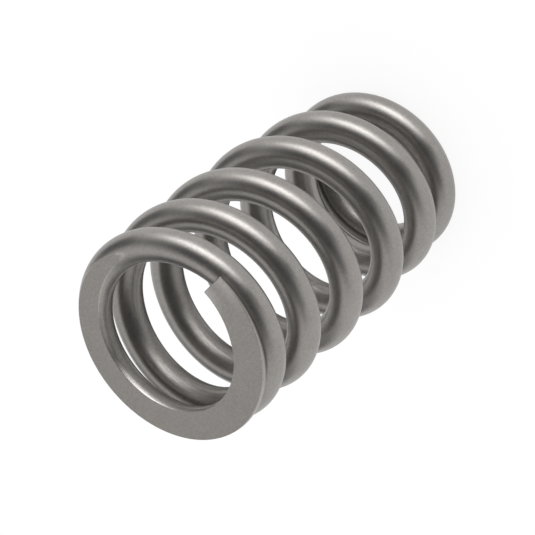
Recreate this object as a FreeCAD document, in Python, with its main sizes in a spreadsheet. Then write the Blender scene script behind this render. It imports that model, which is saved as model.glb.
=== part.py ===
import FreeCAD, Part
import math
import os

# Engine valve spring, wound from one length of round wire.
# It stands upright with its narrow end down: +Z is the coil's axis and points to the wide end.
# The origin is the centre of the ring that it stands on. Lengths are in millimetres.
# Turns are counted along the wire from the tip at the wide end, down to the tip at the narrow end.

SHEET = "Dimensions"

# Each driving size: its name, its value and what it is.
SIZES = [
    ("wire_diameter", 4.9, "diameter of the round wire"),
    ("wide_outer_diameter", 32.8, "outer diameter of the cylindrical coils"),
    ("narrow_outer_diameter", 27.0, "outer diameter where the taper ends, at the narrow tip"),
    ("free_length", 58.2, "height between the two ground faces, unloaded"),
    ("total_turns", 6.6, "turns of wire from tip to tip"),
    ("taper_turns", 2.5, "turns at the narrow end over which the coil closes in"),
    ("tip_thickness", 1.5, "wire left at each tip by the grinding"),
    ("coil_gap", 0.05, "least gap between a closed coil and the next"),
    ("wide_closed_turns", 0.9, "turns wound closed at the wide end"),
    ("wide_opening_turns", 0.3, "turns over which the wide end opens from its closed coil"),
    ("narrow_closed_turns", 0.65, "turns wound closed at the narrow end"),
    ("narrow_opening_turns", 0.7, "turns over which the narrow end opens from its closed coil"),
    ("wide_pitch", 9.4, "pitch of the first open coil, which closes up first under load"),
    ("wide_pitch_turns", 2.0, "turns from the wide tip to the end of that pitch"),
    ("pitch_rise_turns", 0.4, "turns over which the pitch grows to that of the working coils"),
]

# How finely the law of the coil is added up, and how finely its curve is drawn.
STEPS_PER_TURN = 480
POINTS_PER_TURN = 16


def fill_sheet(doc):
    """Puts every driving size into the spreadsheet, with its name as the alias."""
    sheet = doc.addObject("Spreadsheet::Sheet", SHEET)
    for row, (name, value, meaning) in enumerate(SIZES, start=1):
        sheet.set(f"A{row}", name)
        sheet.set(f"B{row}", str(value))
        sheet.set(f"C{row}", meaning)
        sheet.setAlias(f"B{row}", name)
    doc.recompute()
    return sheet


def ease(share):
    """Smooth step from 0 to 1, level at both ends."""
    share = min(max(share, 0.0), 1.0)
    return share * share * (3.0 - 2.0 * share)


def open_share(sheet, turn):
    """How far the coil is open at this turn: 0 in the closed end coils, 1 between them."""
    turns_left = sheet.total_turns - turn
    wide = ease((turn - sheet.wide_closed_turns) / sheet.wide_opening_turns)
    narrow = ease((turns_left - sheet.narrow_closed_turns) / sheet.narrow_opening_turns)
    return wide * narrow


def rise_share(sheet, turn):
    """How far the open pitch has grown from the wide end's to the working coils'."""
    return ease((turn - sheet.wide_pitch_turns) / sheet.pitch_rise_turns)


def running_sum(values, step):
    """Area under the values up to each of them, by the trapezium rule."""
    sums = [0.0]
    for before, after in zip(values, values[1:]):
        sums.append(sums[-1] + 0.5 * (before + after) * step)
    return sums


def coil_depths(sheet):
    """Depth of the wire's centreline below the wide ground face, at each step of the coil.

    The pitch is the closed pitch, plus what the open share adds to it. The working pitch is
    the one value that makes the depths reach the narrow ground face, so it follows free_length.
    """
    count = round(sheet.total_turns * STEPS_PER_TURN)
    step = sheet.total_turns / count
    turns = [step * index for index in range(count + 1)]
    is_open = [open_share(sheet, turn) for turn in turns]
    has_risen = [rise_share(sheet, turn) for turn in turns]

    closed_pitch = sheet.wire_diameter + sheet.coil_gap
    tip_depth = sheet.tip_thickness - sheet.wire_diameter / 2.0
    wanted_drop = sheet.free_length - 2.0 * tip_depth
    wide_part = running_sum(is_open, step)[-1]
    risen_part = running_sum([a * b for a, b in zip(is_open, has_risen)], step)[-1]
    missing = wanted_drop - closed_pitch * sheet.total_turns
    missing -= (sheet.wide_pitch - closed_pitch) * wide_part
    working_pitch = sheet.wide_pitch + missing / risen_part

    pitches = []
    for open_now, risen_now in zip(is_open, has_risen):
        open_pitch = sheet.wide_pitch + (working_pitch - sheet.wide_pitch) * risen_now
        pitches.append(closed_pitch + open_now * (open_pitch - closed_pitch))
    depths = [tip_depth + drop for drop in running_sum(pitches, step)]
    print(f"working pitch {working_pitch:.2f} mm, wide pitch {sheet.wide_pitch:.2f} mm")
    return turns, depths


def coil_radius(sheet, turn):
    """Radius of the wire's centreline: a cylinder, then a straight taper to the narrow tip."""
    wide = (sheet.wide_outer_diameter - sheet.wire_diameter) / 2.0
    narrow = (sheet.narrow_outer_diameter - sheet.wire_diameter) / 2.0
    taper_start = sheet.total_turns - sheet.taper_turns
    share = max(turn - taper_start, 0.0) / sheet.taper_turns
    return wide + (narrow - wide) * share


def coil_points(sheet):
    """Points along the wire's centreline. Seen from above it winds clockwise as it goes down."""
    turns, depths = coil_depths(sheet)
    last = len(turns) - 1
    stride = STEPS_PER_TURN // POINTS_PER_TURN
    chosen = [index for index in range(0, last, stride) if last - index >= stride / 2]
    chosen.append(last)
    points = []
    for index in chosen:
        radius = coil_radius(sheet, turns[index])
        angle = math.pi - 2.0 * math.pi * turns[index]
        height = sheet.free_length - depths[index]
        points.append(FreeCAD.Vector(radius * math.cos(angle), radius * math.sin(angle), height))
    return points


def add_centreline(doc, sheet):
    """The line that the wire follows, as one smooth curve through the coil's points."""
    curve = Part.BSplineCurve()
    curve.interpolate(coil_points(sheet))
    line = doc.addObject("Part::Feature", "centreline")
    line.Label = "centreline"
    line.Shape = Part.Wire([curve.toShape()])
    return line, curve


def add_wire_section(doc, curve):
    """The round section of the wire, square to the centreline at the wide tip."""
    start = curve.FirstParameter
    section = doc.addObject("Part::Circle", "wire_section")
    section.setExpression("Radius", f"{SHEET}.wire_diameter / 2")
    square_on = FreeCAD.Rotation(FreeCAD.Vector(0, 0, 1), curve.tangent(start)[0])
    section.Placement = FreeCAD.Placement(curve.value(start), square_on)
    return section


def add_wound_wire(doc, section, line):
    """The coil as it leaves the winder, with round wire up to both tips."""
    wire = doc.addObject("Part::Sweep", "wound_wire")
    wire.Sections = [section]
    wire.Spine = (line, ["Edge1"])
    wire.Solid = True
    wire.Frenet = True
    return wire


def add_grinding_limits(doc):
    """What the two grinding wheels leave: all that lies between the end faces."""
    limits = doc.addObject("Part::Cylinder", "grinding_limits")
    limits.setExpression("Radius", f"{SHEET}.wide_outer_diameter")
    limits.setExpression("Height", f"{SHEET}.free_length")
    return limits


def add_valve_spring(doc, wire, limits):
    """The finished spring: the wound wire with both ends ground flat and square to its axis."""
    spring = doc.addObject("Part::Common", "valve_spring")
    spring.Label = "valve_spring"
    spring.Base = wire
    spring.Tool = limits
    return spring


def check_document(doc):
    """Stops where an object of the document has failed."""
    for item in doc.Objects:
        if "Invalid" in item.State or "Error" in item.State:
            raise RuntimeError(f"{item.Label} failed: {item.State}")


def check_solid(item, line):
    """Stops unless the piece is one valid solid, and prints its size against its wire's length."""
    shape = item.Shape
    if shape.isNull() or not shape.isValid() or len(shape.Solids) != 1:
        raise RuntimeError(f"{item.Label} is not one valid solid")
    box = shape.optimalBoundingBox()
    print(f"{item.Label}: {box.XLength:.2f} x {box.YLength:.2f} x {box.ZLength:.2f} mm")
    print(f"volume {shape.Volume:.1f} mm3, centreline {line.Shape.Length:.1f} mm")


def write_step(item):
    """Writes the piece to its own file, named after its label."""
    os.makedirs("parts", exist_ok=True)
    item.Shape.exportStep(f"parts/{item.Label}.step")


def main():
    doc = FreeCAD.newDocument("valve_spring_model")
    sheet = fill_sheet(doc)
    line, curve = add_centreline(doc, sheet)
    section = add_wire_section(doc, curve)
    wire = add_wound_wire(doc, section, line)
    limits = add_grinding_limits(doc)
    spring = add_valve_spring(doc, wire, limits)
    doc.recompute()
    check_document(doc)
    check_solid(spring, line)
    write_step(spring)


main()
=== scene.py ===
# %% [markdown]
# # A valve spring, from the law of its coil to its finish
# An engine valve spring is one length of hard steel wire, wound into a coil. This one is a beehive:
# its wide end is a cylinder and its other end closes in. Both ends are wound closed and ground flat.
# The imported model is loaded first, because everything here is measured from it.

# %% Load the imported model
import math

import bpy
import numpy as np
from mathutils import Matrix, Vector


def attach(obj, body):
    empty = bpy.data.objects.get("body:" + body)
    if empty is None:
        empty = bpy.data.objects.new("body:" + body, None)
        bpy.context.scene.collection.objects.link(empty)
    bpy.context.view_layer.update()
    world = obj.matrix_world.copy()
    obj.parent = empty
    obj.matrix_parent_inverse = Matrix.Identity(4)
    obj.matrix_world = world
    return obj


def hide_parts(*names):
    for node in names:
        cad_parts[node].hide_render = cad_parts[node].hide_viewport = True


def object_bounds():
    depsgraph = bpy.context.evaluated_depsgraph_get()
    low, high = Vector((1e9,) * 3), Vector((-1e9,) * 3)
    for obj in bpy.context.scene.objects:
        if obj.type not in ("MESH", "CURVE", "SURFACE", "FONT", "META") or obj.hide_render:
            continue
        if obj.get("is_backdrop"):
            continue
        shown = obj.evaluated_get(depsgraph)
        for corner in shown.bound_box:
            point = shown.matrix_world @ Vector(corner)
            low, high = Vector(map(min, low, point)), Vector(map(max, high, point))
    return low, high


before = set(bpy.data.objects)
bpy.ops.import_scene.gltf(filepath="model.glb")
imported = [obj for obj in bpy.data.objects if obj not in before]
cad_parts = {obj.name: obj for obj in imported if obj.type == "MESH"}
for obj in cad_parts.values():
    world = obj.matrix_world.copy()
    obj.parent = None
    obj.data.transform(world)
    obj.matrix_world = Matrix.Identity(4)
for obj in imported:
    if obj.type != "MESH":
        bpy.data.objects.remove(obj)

MM = 0.001
low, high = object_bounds()

# %% [markdown]
# ## The sizes that shape the coil
# The outside diameter and the free length come from the loaded model's box. The other sizes are those
# that a spring maker writes on the drawing: the wire, the turns, where the ends open, and the pitch.
# Turns are counted along the wire, from the tip at the wide end down to the tip at the narrow end.

# %% Sizes
wide_diameter = high.x - low.x
free_length = high.z - low.z
wire_radius = 4.9 * MM / 2
narrow_diameter = 27.0 * MM
total_turns = 6.6
taper_turns = 2.5
tip_thickness = 1.32 * MM
out_of_square = 0.45 * MM
square_again_turn = 1.1
square_again_over = 0.25
closed_pitch = 4.95 * MM
wide_closed_turns = 0.85
wide_opening_turns = 0.3
narrow_closed_turns = 0.65
narrow_opening_turns = 0.7
wide_pitch = 9.16 * MM
wide_pitch_turns = 2.0
pitch_rise_turns = 0.4
print(f"{wide_diameter / MM:.1f} mm across, {free_length / MM:.1f} mm long")

# %% [markdown]
# ## The law of the coil
# A real spring isn't one even helix. The end turns lie against their neighbours, the first open turn
# has a small pitch so that it closes up early under load, and the working turns share a larger pitch.
# So the pitch is written as a function of the turn, and the depth is its running sum.
# The wheel's plane isn't quite square to the first coil, so one slow wave is added to its depth.

# %% Pitch, depth and radius along the wire
def ease(share):
    """Smooth step: 3 s^2 - 2 s^3, held at 0 before the step and at 1 after it."""
    share = np.clip(share, 0.0, 1.0)
    return share * share * (3.0 - 2.0 * share)


def running_sum(values, step):
    """Area under the values up to each of them, by the trapezium rule."""
    return np.concatenate([[0.0], np.cumsum((values[1:] + values[:-1]) * step / 2)])


steps_per_turn = 480
law_turns = np.linspace(0.0, total_turns, round(total_turns * steps_per_turn) + 1)
law_step = law_turns[1]
is_open = ease((law_turns - wide_closed_turns) / wide_opening_turns)
is_open = is_open * ease((total_turns - law_turns - narrow_closed_turns) / narrow_opening_turns)
has_risen = ease((law_turns - wide_pitch_turns) / pitch_rise_turns)

tip_depth = tip_thickness - wire_radius
wanted_drop = free_length - 2 * tip_depth
closed_drop = closed_pitch * running_sum(1.0 - is_open, law_step)[-1]
open_drop = wide_pitch * running_sum(is_open, law_step)[-1]
risen_part = running_sum(is_open * has_risen, law_step)[-1]
working_pitch = wide_pitch + (wanted_drop - closed_drop - open_drop) / risen_part
pitch = closed_pitch + is_open * (wide_pitch + (working_pitch - wide_pitch) * has_risen - closed_pitch)
law_depth = tip_depth + running_sum(pitch, law_step)
fades_out = ease((square_again_turn - law_turns) / square_again_over)
law_depth += out_of_square * np.sin(2 * np.pi * law_turns) * fades_out
print(f"working pitch {working_pitch / MM:.2f} mm")

# %% [markdown]
# The wire's own centreline follows. Its height falls by the depth, its angle turns clockwise seen from
# above, and its distance from the axis stays the same until the taper begins. Only the first coil
# differs: its tip springs out, and the rest of it lies a little nearer to the axis.

# %% The centreline as a function of the turn
spring_out = 0.22 * MM
spring_out_turns = 0.12
close_in = 0.36 * MM
close_in_from, close_in_over = 0.25, 0.3
close_in_until, close_in_ends_over = 1.2, 0.35


def centreline(turn):
    """Point of the wire's middle: (radius cos a, radius sin a, length - depth), with a = pi - 2 pi turn.

    The cropped wide tip springs out: the radius grows by spring_out over the last spring_out_turns.
    From close_in_from to close_in_until the first coil lies close_in nearer to the axis.
    """
    wide = wide_diameter / 2 - wire_radius
    narrow = narrow_diameter / 2 - wire_radius
    share = np.clip(turn - (total_turns - taper_turns), 0.0, None) / taper_turns
    radius = wide + (narrow - wide) * share
    radius = radius + spring_out * ease(1.0 - turn / spring_out_turns)
    nearer = ease((turn - close_in_from) / close_in_over)
    nearer = nearer * ease((close_in_until - turn) / close_in_ends_over)
    radius = radius - close_in * nearer
    angle = np.pi - 2 * np.pi * turn
    height = free_length - np.interp(turn, law_turns, law_depth)
    return np.stack([radius * np.cos(angle), radius * np.sin(angle), height], axis=-1)


def unit(vectors):
    """Each vector divided by its own length."""
    return vectors / np.linalg.norm(vectors, axis=-1, keepdims=True)


def wire_frame(turn):
    """Middle, outward, upward and onward directions of the wire at each turn.

    Onward is the tangent, by a small central difference. Outward is level and square to it: the
    vertical crossed with onward. Upward is onward crossed with outward.
    """
    small = 1e-4
    middle = centreline(turn)
    onward = unit(centreline(turn + small) - centreline(turn - small))
    outward = unit(np.cross([0.0, 0.0, 1.0], onward))
    upward = np.cross(onward, outward)
    return middle, outward, upward, onward


print("first and last point in mm:", (centreline(np.array([0.0, total_turns])) / MM).round(2).tolist())

# %% [markdown]
# ## The section of the ground wire
# Grinding cuts the round wire with a flat that gets narrower along the first turn and then runs out.
# A boolean would leave long thin triangles there. Instead each section is drawn as an outline whose
# columns follow the edge of the flat: an arc, a small broken edge, the flat, and the same again.

# %% The outline of one section
arc_columns = 22
edge_columns = 4
flat_columns = 5
edge_radius = 0.09 * MM
guard = 0.05 * MM
level_share = 0.22
least_flat_share = 0.6


def strip(cut):
    """The top of the section, from right to left, for each height of the cut above the wire's middle.

    Where the cut meets the wire, x runs along the edge's small arc, then straight across the flat and
    along the other arc. Where it doesn't, x runs evenly across the top of the circle, and y is the lower
    of the circle and the cut. The last value is the angle at which the strip leaves the circle.
    """
    cut = np.minimum(cut, wire_radius)
    edge_height = cut - edge_radius
    half_flat = np.sqrt(np.clip((wire_radius - edge_radius) ** 2 - edge_height ** 2, 0.0, None))
    leaves = np.arctan2(edge_height, half_flat)
    turned = leaves[:, None] + (np.pi / 2 - leaves[:, None]) * np.linspace(0, 1, edge_columns + 1)[1:]
    edge_x = half_flat[:, None] + edge_radius * np.cos(turned)
    edge_y = edge_height[:, None] + edge_radius * np.sin(turned)
    inner = np.clip(half_flat - guard, 0.0, None)
    flat_x = inner[:, None] * np.linspace(1, -1, flat_columns)
    flat_y = np.repeat(cut[:, None], flat_columns, axis=1)
    x = np.concatenate([edge_x, flat_x, -edge_x[:, ::-1]], axis=1)
    y = np.concatenate([edge_y, flat_y, edge_y[:, ::-1]], axis=1)

    half_top = wire_radius * level_share
    even_x = half_top * np.linspace(1, -1, x.shape[1] + 2)[1:-1]
    even_y = np.minimum(np.sqrt(wire_radius ** 2 - even_x ** 2), cut[:, None])
    is_flat = (half_flat > half_top * least_flat_share)[:, None]
    x = np.where(is_flat, x, even_x)
    y = np.where(is_flat, y, even_y)
    return x, y, np.where(is_flat[:, 0], leaves, np.arccos(level_share))


def section_outlines(cut_above, cut_below):
    """Closed outlines, one row for each pair of cuts: right arc, top strip, left arc, bottom strip."""
    top_x, top_y, top_leaves = strip(cut_above)
    low_x, low_y, low_leaves = strip(cut_below)
    along = np.linspace(0, 1, arc_columns)
    right = -low_leaves[:, None] + (top_leaves + low_leaves)[:, None] * along
    left = np.pi - right[:, ::-1]
    x = [wire_radius * np.cos(right), top_x, wire_radius * np.cos(left), low_x[:, ::-1]]
    y = [wire_radius * np.sin(right), top_y, wire_radius * np.sin(left), -low_y[:, ::-1]]
    return np.concatenate(x, axis=1), np.concatenate(y, axis=1)


def cuts_at(middle, upward):
    """How far above and below the wire's middle the two ground planes pass, in the section's own plane."""
    return (free_length - middle[:, 2]) / upward[:, 2], middle[:, 2] / upward[:, 2]


print("columns in a section:", 2 * arc_columns + 2 * (2 * edge_columns + flat_columns))

# %% [markdown]
# ## The whole wire as one closed grid
# The sections are set one after another along the centreline, which gives a grid of points: rows along
# the wire and columns around it. At each tip the last rows turn inwards, first over the broken edge of
# the cut and then across its face, and one point closes the middle.

# %% Rows along the wire and over the tips
rows_per_turn = 132
tip_edge = 0.14 * MM
tip_skew = math.tan(math.radians(4.0))
skew_turns = 0.06


def spring_points():
    """Grid of points. A point is middle + x outward + y upward + s onward, with (x, y) from the outline.

    A tip's row is the end section drawn in by tip_edge (1 - cos b) and set back by tip_edge (1 - sin b),
    with b from 0 to 90 degrees, and then that section in shares of its size. The shears that crop the
    wire leave the cut slightly askew: s is tip_skew times x, and dies out over skew_turns.
    """
    edge_turn = tip_edge / (2 * np.pi * (wide_diameter / 2 - wire_radius))
    body = np.linspace(edge_turn, total_turns - edge_turn, round(total_turns * rows_per_turn))
    nudge = edge_turn * guard / tip_edge
    body = np.concatenate([body[:1], body[:1] + nudge, body[1:-1], body[-1:] - nudge, body[-1:]])
    middle, outward, upward, onward = wire_frame(body)
    x, y = section_outlines(*cuts_at(middle, upward))
    near_start = np.clip(1.0 - body / skew_turns, 0.0, 1.0)
    near_end = np.clip(1.0 - (total_turns - body) / skew_turns, 0.0, 1.0)
    askew = tip_skew * x * (near_start - near_end)[:, None]
    points = middle[:, None] + x[..., None] * outward[:, None] + y[..., None] * upward[:, None]
    points = points + askew[..., None] * onward[:, None]

    bend = np.radians([30.0, 60.0, 90.0, 90.0, 90.0])[:, None]
    share = np.array([1.0, 1.0, 1.0, 0.62, 0.28])[:, None]
    grids = []
    for turn, way in ((0.0, 1.0), (total_turns, -1.0)):
        middle, outward, upward, onward = wire_frame(np.array([turn]))
        x, y = section_outlines(*cuts_at(middle, upward))
        centre_x = (x.max() + x.min()) / 2
        centre_y = (y.max() + y.min()) / 2
        drawn_in = tip_edge * (1 - np.cos(bend))
        in_x = centre_x + (x - centre_x) * (1 - drawn_in / (x.max() - centre_x)) * share
        in_y = centre_y + (y - centre_y) * (1 - drawn_in / (y.max() - centre_y)) * share
        back = (tip_edge * (1 - np.sin(bend)) + tip_skew * in_x) * way
        rows = middle + in_x[..., None] * outward + in_y[..., None] * upward + back[..., None] * onward
        pole_back = tip_skew * centre_x * way
        pole = middle[0] + centre_x * outward[0] + centre_y * upward[0] + pole_back * onward[0]
        grids.append((rows, pole))
    (start, start_pole), (end, end_pole) = grids
    return np.concatenate([start[::-1], points, end]), start_pole, end_pole


grid, start_pole, end_pole = spring_points()
print("rows and columns:", grid.shape[:2])

# %% [markdown]
# ## From the grid to a mesh
# Four neighbours in the grid make a face, and the last column joins the first. The face list is worked
# out from index arrays and handed over in one call. The mesh also keeps what the material needs to know:
# where the wire is ground, and how near the ground edge is, which is where a painted highlight goes.

# %% Mesh helper
def grid_mesh(name, points, first_pole, last_pole):
    """A closed tube from a grid: a quad for each (row, column) with (row, column + 1),
    (row + 1, column + 1) and (row + 1, column), and a fan of triangles to the pole at each end.
    """
    rows, columns = points.shape[:2]
    row = np.arange(rows - 1)[:, None] * columns
    here = np.arange(columns)[None, :]
    beside = (here + 1) % columns
    quads = np.stack([row + here, row + beside, row + columns + beside, row + columns + here], -1)
    first = rows * columns
    fan_a = np.stack([beside[0], here[0], np.full(columns, first)], -1)
    base = (rows - 1) * columns
    fan_b = np.stack([base + here[0], base + beside[0], np.full(columns, first + 1)], -1)
    corners = np.concatenate([quads.reshape(-1), fan_a.reshape(-1), fan_b.reshape(-1)])
    sizes = np.concatenate([np.full((rows - 1) * columns, 4), np.full(2 * columns, 3)])

    mesh = bpy.data.meshes.new(name)
    mesh.vertices.add(first + 2)
    all_points = np.concatenate([points.reshape(-1, 3), [first_pole, last_pole]])
    mesh.vertices.foreach_set("co", all_points.ravel())
    mesh.loops.add(len(corners))
    mesh.loops.foreach_set("vertex_index", corners.astype(np.int32))
    mesh.polygons.add(len(sizes))
    mesh.polygons.foreach_set("loop_start", (np.cumsum(sizes) - sizes).astype(np.int32))
    mesh.polygons.foreach_set("use_smooth", np.ones(len(sizes), dtype=bool))
    mesh.update()
    mesh.validate()
    return mesh


spring_mesh = grid_mesh("spring_wire", grid, start_pole, end_pole)
spring = bpy.data.objects.new("spring_wire", spring_mesh)
bpy.context.scene.collection.objects.link(spring)
print("faces:", len(spring_mesh.polygons))

# %% [markdown]
# The ground mask is 1 for the points that lie in a grinding plane. The edge mask follows the broken edge:
# points that are almost at the plane but already on the round. The material paints a highlight there.

# %% Masks for the finish and for the painted edge highlight
plane_reach = 0.01 * MM
edge_reach = 1.2 * edge_radius


def point_attribute(mesh, name, values):
    """Stores one number for each vertex under a name that the material can read."""
    attribute = mesh.attributes.new(name, "FLOAT", "POINT")
    attribute.data.foreach_set("value", values.astype(np.float32))


places = np.empty(len(spring_mesh.vertices) * 3)
spring_mesh.vertices.foreach_get("co", places)
height = places[2::3]
from_plane = np.minimum(np.abs(free_length - height), np.abs(height))
ground = 1.0 - np.clip(from_plane / plane_reach, 0.0, 1.0)
# Mask for the painted highlight along the broken edge of the ground flat.
highlight_edge_mask = (1.0 - ground) * (1.0 - np.clip(from_plane / edge_reach, 0.0, 1.0))
point_attribute(spring_mesh, "ground", ground)
point_attribute(spring_mesh, "ground_edge", highlight_edge_mask)
print(f"ground share of the points: {ground.mean():.3f}")

# %% [markdown]
# ## The finish: peened steel
# Valve springs are shot-peened: small hard balls dent the whole surface, which closes its pores and
# leaves an even satin grey. Two scales show. Fine dimples break up the gloss, and slow clouds shift its
# tone a little. Both are noise in the object's own coordinates, so they stay on the steel.

# %% A node group for grain, used by the round wire and by the ground faces
fine_waves = 5200.0
coarse_waves = 2300.0
cloud_waves = 260.0


def new_group(name, inputs, outputs):
    """An empty shader node group with named sockets, and its input and output nodes."""
    group = bpy.data.node_groups.new(name, "ShaderNodeTree")
    for label, kind in inputs:
        group.interface.new_socket(label, in_out="INPUT", socket_type=kind)
    for label, kind in outputs:
        group.interface.new_socket(label, in_out="OUTPUT", socket_type=kind)
    return group, group.nodes.new("NodeGroupInput"), group.nodes.new("NodeGroupOutput")


def noise_node(tree, source, scale, detail, label):
    """A noise texture on the given position. The scale is in waves per metre."""
    node = tree.nodes.new("ShaderNodeTexNoise")
    node.label = label
    node.inputs["Scale"].default_value = scale
    node.inputs["Detail"].default_value = detail
    tree.links.new(source, node.inputs["Vector"])
    return node.outputs["Fac"]


def math_node(tree, operation, first, second):
    """One Math node. Each input is a socket or a plain number."""
    node = tree.nodes.new("ShaderNodeMath")
    node.operation = operation
    for socket, value in zip(node.inputs, (first, second)):
        if isinstance(value, (int, float)):
            socket.default_value = value
        else:
            tree.links.new(value, socket)
    return node.outputs[0]


def steel_grain_group():
    """Dimples: half a fine noise and half a coarser one. Clouds: a slow noise. Both run from 0 to 1."""
    sockets_in = [("Position", "NodeSocketVector")]
    sockets_out = [("Dimples", "NodeSocketFloat"), ("Clouds", "NodeSocketFloat")]
    group, source, result = new_group("steel_grain", sockets_in, sockets_out)
    place = source.outputs["Position"]
    fine = noise_node(group, place, fine_waves, 2.0, "fine dimples")
    coarse = noise_node(group, place, coarse_waves, 1.0, "coarse dimples")
    clouds = noise_node(group, place, cloud_waves, 3.0, "clouds")
    both = math_node(group, "MULTIPLY", math_node(group, "ADD", fine, coarse), 0.5)
    group.links.new(both, result.inputs["Dimples"])
    group.links.new(clouds, result.inputs["Clouds"])
    return group


grain_group = steel_grain_group()
print("group:", grain_group.name)

# %% [markdown]
# The material itself mixes two finishes by the ground mask. The peened wire is a little darker and
# glossier. The ground faces are duller, because the wheel's fine scratches spread the light. On the
# broken edge between them the colour is made a touch brighter: a painted highlight where it catches the
# light.

# %% The steel
peened_grey = (0.315, 0.300, 0.285, 1.0)
ground_grey = (0.350, 0.328, 0.310, 1.0)
# Painted highlight: the lighter grey and its share are laid on the broken edge, where it catches the
# light.
edge_highlight_grey = (0.52, 0.50, 0.48, 1.0)
edge_highlight_share = 0.7
peened_roughness = 0.36
ground_roughness = 0.48
cloud_roughness = 0.10
dimple_tone = 0.60
cloud_tone = 0.26
darkest_tone = 0.57
dimple_depth = 0.020 * MM
bump_strength = 0.7


def mix_color(tree, share, first, second):
    """Mixes two colours. The share and each colour may be a socket or a plain value."""
    node = tree.nodes.new("ShaderNodeMix")
    node.data_type = "RGBA"
    sockets = (node.inputs[0], node.inputs[6], node.inputs[7])
    for socket, value in zip(sockets, (share, first, second)):
        if isinstance(value, bpy.types.NodeSocket):
            tree.links.new(value, socket)
        else:
            socket.default_value = value
    return node.outputs[2]


def read_attribute(tree, name):
    """The value of one of the mesh's own attributes."""
    node = tree.nodes.new("ShaderNodeAttribute")
    node.attribute_name = name
    return node.outputs["Fac"]


def spring_steel():
    """Principled steel whose tone and roughness follow the ground mask and the grain, with a painted
    highlight along the broken edge.
    """
    material = bpy.data.materials.new("peened_spring_steel")
    material.use_nodes = True
    tree = material.node_tree
    shader = tree.nodes["Principled BSDF"]
    shader.inputs["Metallic"].default_value = 1.0
    place = tree.nodes.new("ShaderNodeTexCoord").outputs["Object"]
    grain = tree.nodes.new("ShaderNodeGroup")
    grain.node_tree = grain_group
    tree.links.new(place, grain.inputs["Position"])
    dimples, clouds = grain.outputs["Dimples"], grain.outputs["Clouds"]
    is_ground = read_attribute(tree, "ground")
    highlight_edge = read_attribute(tree, "ground_edge")

    tone = mix_color(tree, is_ground, peened_grey, ground_grey)
    # Painted highlight: along the broken edge the colour is mixed towards a lighter grey.
    tone = mix_color(tree, math_node(tree, "MULTIPLY", highlight_edge, edge_highlight_share), tone, edge_highlight_grey)
    lift = math_node(tree, "MULTIPLY_ADD", dimples, dimple_tone)
    lift.node.inputs[2].default_value = darkest_tone
    shade = math_node(tree, "ADD", lift, math_node(tree, "MULTIPLY", clouds, cloud_tone))
    shaded = tree.nodes.new("ShaderNodeVectorMath")
    shaded.operation = "SCALE"
    tree.links.new(tone, shaded.inputs[0])
    tree.links.new(shade, shaded.inputs["Scale"])
    tree.links.new(shaded.outputs[0], shader.inputs["Base Color"])

    rough = math_node(tree, "MULTIPLY_ADD", is_ground, ground_roughness - peened_roughness)
    rough.node.inputs[2].default_value = peened_roughness - cloud_roughness / 2
    rough = math_node(tree, "ADD", rough, math_node(tree, "MULTIPLY", clouds, cloud_roughness))
    tree.links.new(rough, shader.inputs["Roughness"])

    bump = tree.nodes.new("ShaderNodeBump")
    bump.inputs["Strength"].default_value = bump_strength
    bump.inputs["Distance"].default_value = dimple_depth
    tree.links.new(dimples, bump.inputs["Height"])
    tree.links.new(bump.outputs["Normal"], shader.inputs["Normal"])
    return material


spring_mesh.materials.append(spring_steel())
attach(spring, "root")
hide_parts("valve_spring")
print("material:", spring_mesh.materials[0].name)

# %% [markdown]
# ## Where the camera stands
# The photograph was taken with a long lens, looking at the wide end and down at the spring's side, with
# the axis running up to the right. The camera is described in its own terms: how far the axis leans
# away, which way it leans, how far the spring is turned about it, and where the wide end appears.

# %% Camera
picture_size = 535.0
sensor_width = 36.0
focal_pixels = 2766.55
ring_distance = 391.27 * MM
ring_column = 165.41
ring_row = 339.11
lean_from_view = math.radians(44.156)
lean_direction = math.radians(-38.308)
turn_about_axis = math.radians(52.4)


def camera_pose():
    """Rotation and place of the camera in the spring's frame.

    In the picture's frame (right, down, away) the axis points along (sin l cos d, sin l sin d, cos l).
    Two directions square to it, turned by the third angle, give the spring's X and Y there.
    """
    axis = np.array([
        math.sin(lean_from_view) * math.cos(lean_direction),
        math.sin(lean_from_view) * math.sin(lean_direction),
        math.cos(lean_from_view),
    ])
    picture_up = np.array([0.0, -1.0, 0.0])
    first = unit(picture_up - axis * (picture_up @ axis))
    second = np.cross(axis, first)
    cos_turn, sin_turn = math.cos(turn_about_axis), math.sin(turn_about_axis)
    spring_x = -(cos_turn * first + sin_turn * second)
    spring_y = -sin_turn * first + cos_turn * second
    to_spring = np.stack([spring_x, spring_y, -axis])
    middle = (picture_size - 1) / 2
    offset = np.array([ring_column - middle, ring_row - middle, focal_pixels]) / focal_pixels
    origin = offset * ring_distance + free_length * axis
    rotation = to_spring @ np.diag([1.0, -1.0, -1.0])
    return rotation, -to_spring @ origin


camera_rotation, camera_place = camera_pose()
lens = bpy.data.cameras.new("camera")
lens.sensor_width = sensor_width
lens.lens = focal_pixels * sensor_width / picture_size
camera = bpy.data.objects.new("camera", lens)
camera.matrix_world = Matrix.Translation(Vector(camera_place)) @ Matrix(camera_rotation.tolist()).to_4x4()
bpy.context.scene.collection.objects.link(camera)
bpy.context.scene.camera = camera
bpy.context.scene.view_settings.view_transform = "Standard"
print(f"lens {lens.lens:.0f} mm, camera at {[round(float(v), 3) for v in camera_place]} m")

# %% [markdown]
# ## The floor
# The floor is plain and white. The camera sees it as plain white, and so do mirror rays and rays
# through glass, so that the metal shows the white floor too. A small share of ordinary white paint is
# mixed in, which keeps the spring's soft shadow.

# %% Floor
floor_half = 4.0
paint_share = 0.10


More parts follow.
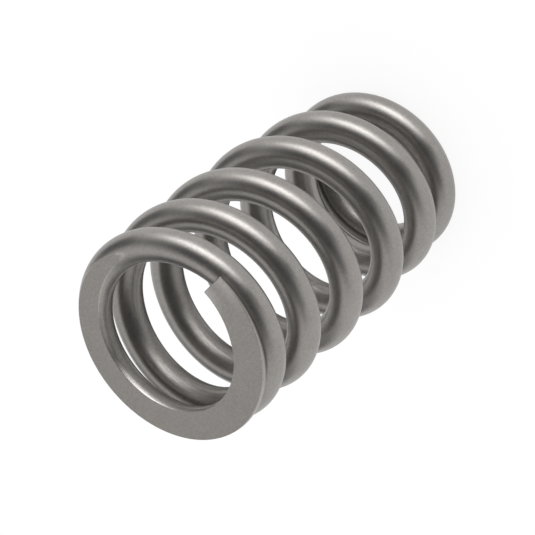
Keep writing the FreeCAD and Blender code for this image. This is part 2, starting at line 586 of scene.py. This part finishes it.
def floor_white():
    """White paint, mixed with a plain white glow for camera, mirror and glass rays."""
    material = bpy.data.materials.new("floor_white")
    material.use_nodes = True
    tree = material.node_tree
    tree.nodes.remove(tree.nodes["Principled BSDF"])
    paint = tree.nodes.new("ShaderNodeBsdfDiffuse")
    paint.inputs["Color"].default_value = (0.9, 0.9, 0.9, 1.0)
    glow = tree.nodes.new("ShaderNodeEmission")
    ray = tree.nodes.new("ShaderNodeLightPath").outputs
    seen = math_node(tree, "MAXIMUM", ray["Is Camera Ray"], ray["Is Transmission Ray"])
    seen = math_node(tree, "MAXIMUM", seen, ray["Is Glossy Ray"])
    white = tree.nodes.new("ShaderNodeMixShader")
    tree.links.new(math_node(tree, "MULTIPLY", seen, 1.0 - paint_share), white.inputs[0])
    tree.links.new(paint.outputs[0], white.inputs[1])
    tree.links.new(glow.outputs[0], white.inputs[2])
    tree.links.new(white.outputs[0], tree.nodes["Material Output"].inputs["Surface"])
    return material


square = [(-1.0, -1.0), (1.0, -1.0), (1.0, 1.0), (-1.0, 1.0)]
floor_mesh = bpy.data.meshes.new("floor")
floor_mesh.from_pydata([(x * floor_half, y * floor_half, low.z) for x, y in square], [], [(0, 1, 2, 3)])
floor_mesh.materials.append(floor_white())
floor = bpy.data.objects.new("floor", floor_mesh)
bpy.context.scene.collection.objects.link(floor)
floor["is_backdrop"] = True
print("floor:", 2 * floor_half, "m square")

# %% [markdown]
# ## Light for metal
# Metal mostly shows what stands around it. All around is the white background, and the metal mirrors
# that. A form that mirrors only white looks flat, so a photographer sets up dark flags, which draw dark
# bands along the coils, and one key light, which draws the highlight. Each is a soft patch of the sky,
# given by its direction, its size and its brightness. White paper has a brightness of 1. The floor
# hides what lies below the horizon, and the metal mirrors the white floor there.

# %% The flags and the key light
camera_azimuth = math.atan2(camera_place[1], camera_place[0])
background_white = (1.0, 1.0, 1.0, 1.0)

# name, degrees round from the camera's side, degrees up, half width, half height, softness, brightness
sky_patches = [
    ("top_flag", 5, 62, 58, 39, 0.20, 0.10),
    ("camera_side_flag", -18, 2, 15, 42, 0.45, 0.08),
    ("right_flag", 120, 14, 21, 31, 0.40, 0.12),
    ("back_flag", -164, 8, 26, 27, 0.40, 0.12),
    ("key_light", 38, -5, 32, 32, 0.52, 4.90),
]


def sky_direction(azimuth, elevation):
    """Unit vector so many degrees round from the camera's side and so many above the horizon."""
    turn = camera_azimuth + math.radians(azimuth)
    rise = math.radians(elevation)
    return np.array([math.cos(rise) * math.cos(turn), math.cos(rise) * math.sin(turn), math.sin(rise)])


print("patches:", [patch[0] for patch in sky_patches])

# %% [markdown]
# Each patch is an oval with a soft edge. How far a direction lies from its middle, as a share of the
# oval, comes from two dot products. The camera and glass see the plain white without the patches.

# %% World
def dot_node(tree, place, axis):
    """Dot product of a direction socket with a fixed vector."""
    node = tree.nodes.new("ShaderNodeVectorMath")
    node.operation = "DOT_PRODUCT"
    tree.links.new(place, node.inputs[0])
    node.inputs[1].default_value = tuple(float(v) for v in axis)
    return node.outputs["Value"]


def soft_oval(tree, place, patch):
    """Mask of one patch: r^2 = (across / sin w)^2 + (up / sin h)^2, eased from 1 inside to 0 outside.

    Across and up are the direction's dot products with the two unit vectors square to the patch's own.
    Directions on the other side of the sky, where the third dot product is negative, get 0.
    """
    name, azimuth, elevation, half_width, half_height, softness, brightness = patch
    toward = sky_direction(azimuth, elevation)
    across = unit(np.cross([0.0, 0.0, 1.0], toward))
    upward = np.cross(toward, across)
    squares = []
    for axis, half in ((across, half_width), (upward, half_height)):
        share = dot_node(tree, place, axis / math.sin(math.radians(half)))
        squares.append(math_node(tree, "MULTIPLY", share, share))
    reach = math_node(tree, "SQRT", math_node(tree, "ADD", *squares), 0.0)
    edge = tree.nodes.new("ShaderNodeMapRange")
    edge.label = name
    edge.interpolation_type = "SMOOTHSTEP"
    edge.inputs["From Min"].default_value = 1.0 + softness
    edge.inputs["From Max"].default_value = 1.0 - softness
    tree.links.new(reach, edge.inputs["Value"])
    in_front = math_node(tree, "GREATER_THAN", dot_node(tree, place, toward), 0.0)
    return math_node(tree, "MULTIPLY", edge.outputs["Result"], in_front)


def studio_world():
    """Plain white, then each patch laid over it for every ray but those of the camera and of glass."""
    world = bpy.data.worlds.new("studio")
    world.use_nodes = True
    tree = world.node_tree
    place = tree.nodes.new("ShaderNodeTexCoord").outputs["Generated"]
    tone = background_white
    for patch in sky_patches:
        bright = (patch[-1], patch[-1], patch[-1], 1.0)
        tone = mix_color(tree, soft_oval(tree, place, patch), tone, bright)
    ray = tree.nodes.new("ShaderNodeLightPath").outputs
    seen = math_node(tree, "MAXIMUM", ray["Is Camera Ray"], ray["Is Transmission Ray"])
    tone = mix_color(tree, seen, tone, background_white)
    tree.links.new(tone, tree.nodes["Background"].inputs["Color"])
    return world


bpy.context.scene.world = studio_world()
print("world:", bpy.context.scene.world.name)

# %% [markdown]
# A wide lamp overhead gives the floor its plain light and the spring its soft shadow. The steel doesn't
# mirror it, because its highlight comes from the key light.

# %% Lamp
lamp_data = bpy.data.lights.new("overhead_lamp", "AREA")
lamp_data.shape = "DISK"
lamp_data.size = 0.5
lamp_data.energy = 6.0
lamp = bpy.data.objects.new("overhead_lamp", lamp_data)
lamp.location = (0.0, 0.0, 0.9)
lamp.visible_camera = False
lamp.visible_glossy = False
bpy.context.scene.collection.objects.link(lamp)
print("lamp:", lamp_data.energy, "W")

# %% [markdown]
# ## Sizes, and the end
# The box of the dressed spring is read once more at the end. The dressed spring has to stay inside
# the model's box.

# %% Finish
low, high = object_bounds()
